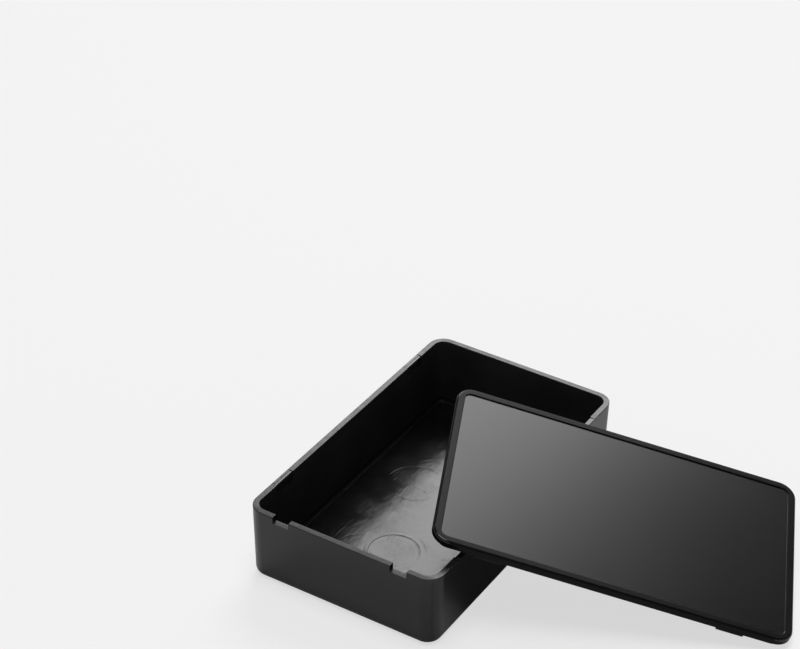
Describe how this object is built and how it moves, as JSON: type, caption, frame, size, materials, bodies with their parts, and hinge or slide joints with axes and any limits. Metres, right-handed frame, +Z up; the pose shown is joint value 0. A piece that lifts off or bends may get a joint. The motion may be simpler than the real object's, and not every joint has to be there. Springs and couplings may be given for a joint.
{
  "type": "plastic project box",
  "caption": "Small black plastic project box: a shallow open tray with a rounded rim, and its flat lid with snap tabs, taken off and leaning on one long side.",
  "frame": {"origin": "centre of the tray's flat underside, on the surface that the box stands on", "axes": "+Z up out of the open tray, +X along the tray's length, +Y across its width, away from the side on which the lid leans"},
  "size_m": [0.104, 0.1381, 0.0365],
  "materials": {
    "black_plastic": "moulded black ABS with a fine satin grain"
  },
  "bodies": {
    "root": {"tray": "black_plastic", "lid": "black_plastic"}
  },
  "joints": []
}
